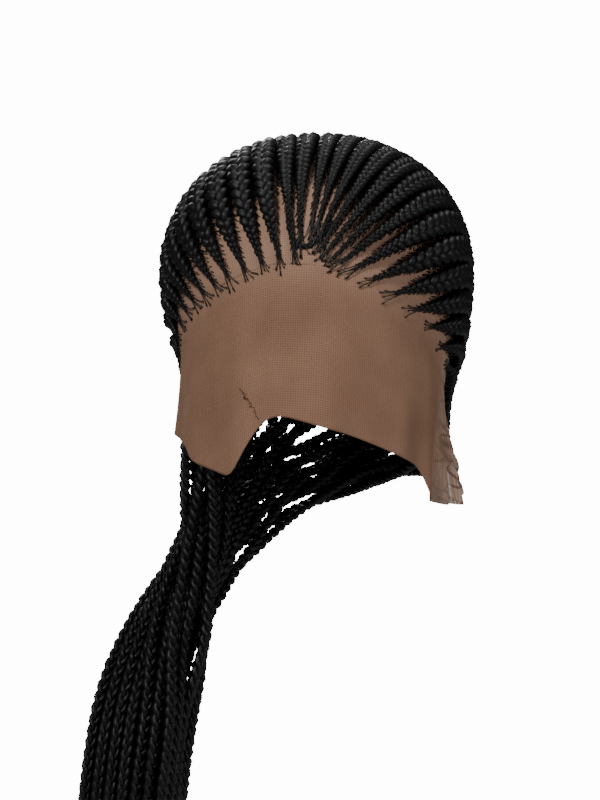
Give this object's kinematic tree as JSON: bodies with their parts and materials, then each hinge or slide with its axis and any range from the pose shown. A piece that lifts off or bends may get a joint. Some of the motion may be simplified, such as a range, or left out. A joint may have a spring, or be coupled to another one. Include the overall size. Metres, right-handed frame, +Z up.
{
  "type": "braid wig",
  "caption": "Black feed-in cornrow wig on a lace cap with an untrimmed lace front, its free braids gathered over one shoulder.",
  "frame": {"origin": "centre of the head's widest level, inside the cap, where the head holds the wig", "axes": "+Z up, the face looks to -Y, +X is the wearer's left"},
  "size_m": [0.2086, 0.2092, 0.5877],
  "materials": {
    "cap_lace": "fine tan-brown stretch lace",
    "front_lace": "sheer tan net with a pitch of about 1.1 mm",
    "cornrow_hair": "black braiding hair plaited tight, satin",
    "braid_hair": "black braiding hair in three-strand plaits, satin"
  },
  "bodies": {
    "root": {"lace_cap": "cap_lace", "lace_front": "front_lace", "cornrow_left_01": "cornrow_hair", "cornrow_left_02": "cornrow_hair", "cornrow_left_03": "cornrow_hair", "cornrow_left_04": "cornrow_hair", "cornrow_left_05": "cornrow_hair", "cornrow_left_06": "cornrow_hair", "cornrow_left_07": "cornrow_hair", "cornrow_left_08": "cornrow_hair", "cornrow_left_09": "cornrow_hair", "cornrow_left_10": "cornrow_hair", "cornrow_left_11": "cornrow_hair", "cornrow_left_12": "cornrow_hair", "cornrow_left_13": "cornrow_hair", "cornrow_left_14": "cornrow_hair", "cornrow_right_01": "cornrow_hair", "cornrow_right_02": "cornrow_hair", "cornrow_right_03": "cornrow_hair", "cornrow_right_04": "cornrow_hair", "cornrow_right_05": "cornrow_hair", "cornrow_right_06": "cornrow_hair", "cornrow_right_07": "cornrow_hair", "cornrow_right_08": "cornrow_hair", "cornrow_right_09": "cornrow_hair", "cornrow_right_10": "cornrow_hair", "cornrow_right_11": "cornrow_hair", "cornrow_right_12": "cornrow_hair", "cornrow_right_13": "cornrow_hair", "cornrow_right_14": "cornrow_hair", "braid_left_01": "braid_hair", "braid_left_02": "braid_hair", "braid_left_03": "braid_hair", "braid_left_04": "braid_hair", "braid_left_05": "braid_hair", "braid_left_06": "braid_hair", "braid_left_07": "braid_hair", "braid_left_08": "braid_hair", "braid_left_09": "braid_hair", "braid_left_10": "braid_hair", "braid_left_11": "braid_hair", "braid_left_12": "braid_hair", "braid_left_13": "braid_hair", "braid_left_14": "braid_hair", "braid_right_01": "braid_hair", "braid_right_02": "braid_hair", "braid_right_03": "braid_hair", "braid_right_04": "braid_hair", "braid_right_05": "braid_hair", "braid_right_06": "braid_hair", "braid_right_07": "braid_hair", "braid_right_08": "braid_hair", "braid_right_09": "braid_hair", "braid_right_10": "braid_hair", "braid_right_11": "braid_hair", "braid_right_12": "braid_hair", "braid_right_13": "braid_hair", "braid_right_14": "braid_hair"}
  },
  "joints": []
}
